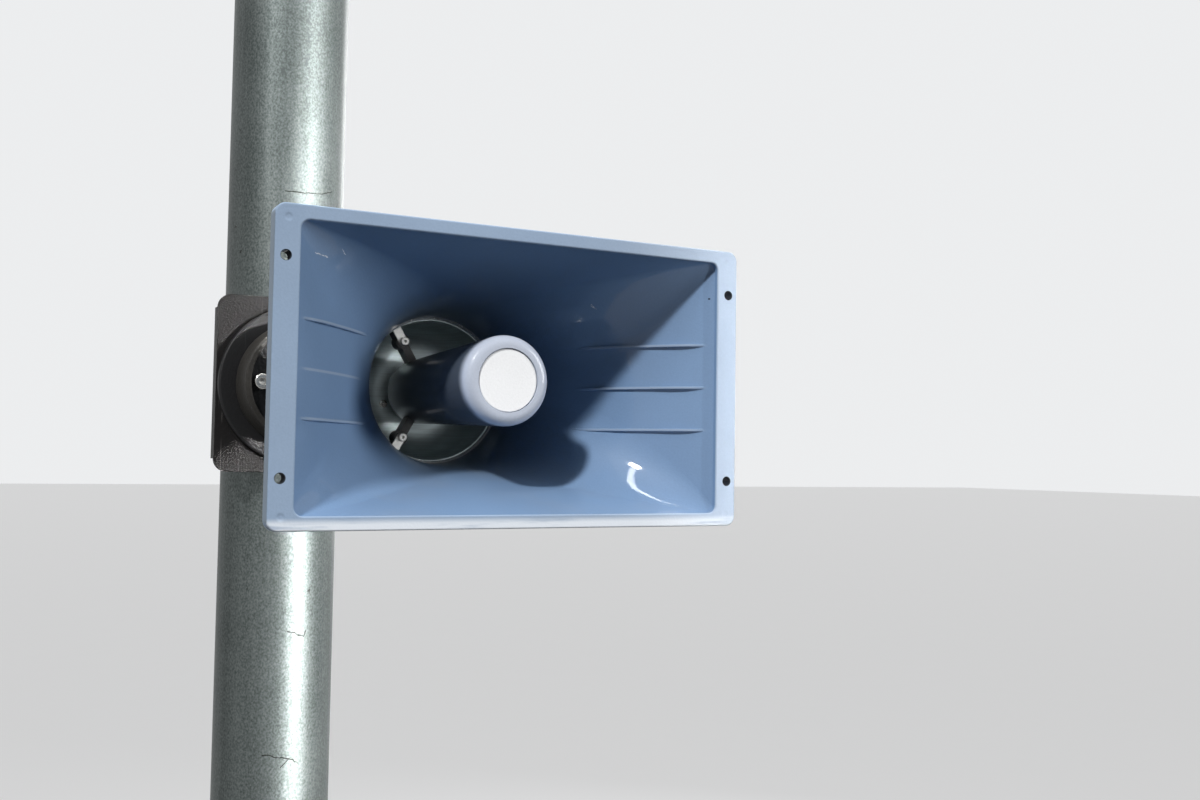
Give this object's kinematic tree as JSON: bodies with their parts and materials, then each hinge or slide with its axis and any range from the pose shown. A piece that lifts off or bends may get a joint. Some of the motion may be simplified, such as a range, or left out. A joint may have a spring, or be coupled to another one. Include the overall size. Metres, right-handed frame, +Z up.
{
  "type": "pole-mounted horn loudspeaker",
  "caption": "Rectangular horn loudspeaker with a folded throat, held by a tilting bracket and bands on a round steel pole with a flanged foot.",
  "frame": {"origin": "centre of the foot plate's underside, on the pole's axis", "axes": "+Z up along the pole, -Y the way the horn faces, +X to the right of a person who looks into the mouth"},
  "size_m": [0.28, 0.677, 2.162],
  "materials": {
    "galvanised_steel": "hot-dip galvanised, spangled, semi-gloss",
    "cap_plastic": "matte moulded plastic",
    "stainless_steel": "bright stainless strip",
    "plate_paint": "grey-brown powder coat, satin",
    "saddle_metal": "grey-brown powder coat, satin",
    "backing_plastic": "dark moulded plastic, matte",
    "bracket_paint": "dark coated casting, satin",
    "fixings": "bright plated steel",
    "horn_plastic": "light blue-grey moulded plastic, semi-gloss",
    "housing_plastic": "light blue-grey moulded plastic, semi-gloss",
    "lug_metal": "coated casting, satin",
    "gland_plastic": "moulded plastic, matte",
    "ring_plastic": "moulded plastic, glossy",
    "bowl_plastic": "dark green-grey moulded plastic, satin",
    "tube_plastic": "dark moulded plastic, matte",
    "cup_plastic": "lavender-grey moulded plastic, semi-gloss",
    "leg_plastic": "dark moulded plastic, matte",
    "disc_plastic": "pale plastic, satin",
    "clip_metal": "bright plated steel",
    "driver_metal": "dark coated metal"
  },
  "bodies": {
    "mast": {"pole": "galvanised_steel", "foot_plate": "galvanised_steel", "foot_gusset_1": "galvanised_steel", "foot_gusset_2": "galvanised_steel", "foot_gusset_3": "galvanised_steel", "foot_gusset_4": "galvanised_steel", "pole_cap": "cap_plastic", "upper_band": "stainless_steel", "lower_band": "stainless_steel", "upper_lock": "stainless_steel", "lower_lock": "stainless_steel", "upper_lock_screw": "stainless_steel", "lower_lock_screw": "stainless_steel", "mount_plate": "plate_paint", "upper_saddle": "saddle_metal", "lower_saddle": "saddle_metal", "backing_disc": "backing_plastic", "bracket_base": "bracket_paint", "bracket_arm": "bracket_paint", "base_screws": "fixings", "tilt_bolt": "fixings", "tilt_washers": "fixings", "tilt_nut": "fixings"},
    "horn": {"horn_bell": "horn_plastic", "throat_collar": "horn_plastic", "throat_ring": "ring_plastic", "throat_bowl": "bowl_plastic", "sound_tube": "tube_plastic", "reflector_cup": "cup_plastic", "cup_disc": "disc_plastic", "cup_leg_1": "leg_plastic", "cup_leg_2": "leg_plastic", "cup_leg_3": "leg_plastic", "leg_clips": "clip_metal", "leg_screws": "clip_metal", "driver": "driver_metal", "driver_housing": "housing_plastic", "rear_cover": "housing_plastic", "cover_screws": "fixings", "cable_gland": "gland_plastic", "tilt_lug": "lug_metal"}
  },
  "joints": [
    {"name": "horn_tilt", "type": "hinge", "parent": "mast", "child": "horn", "pos_m": [0, -0.171, 1.5], "axis": [1, 0, 0], "range_deg": [-30, 30]}
  ]
}
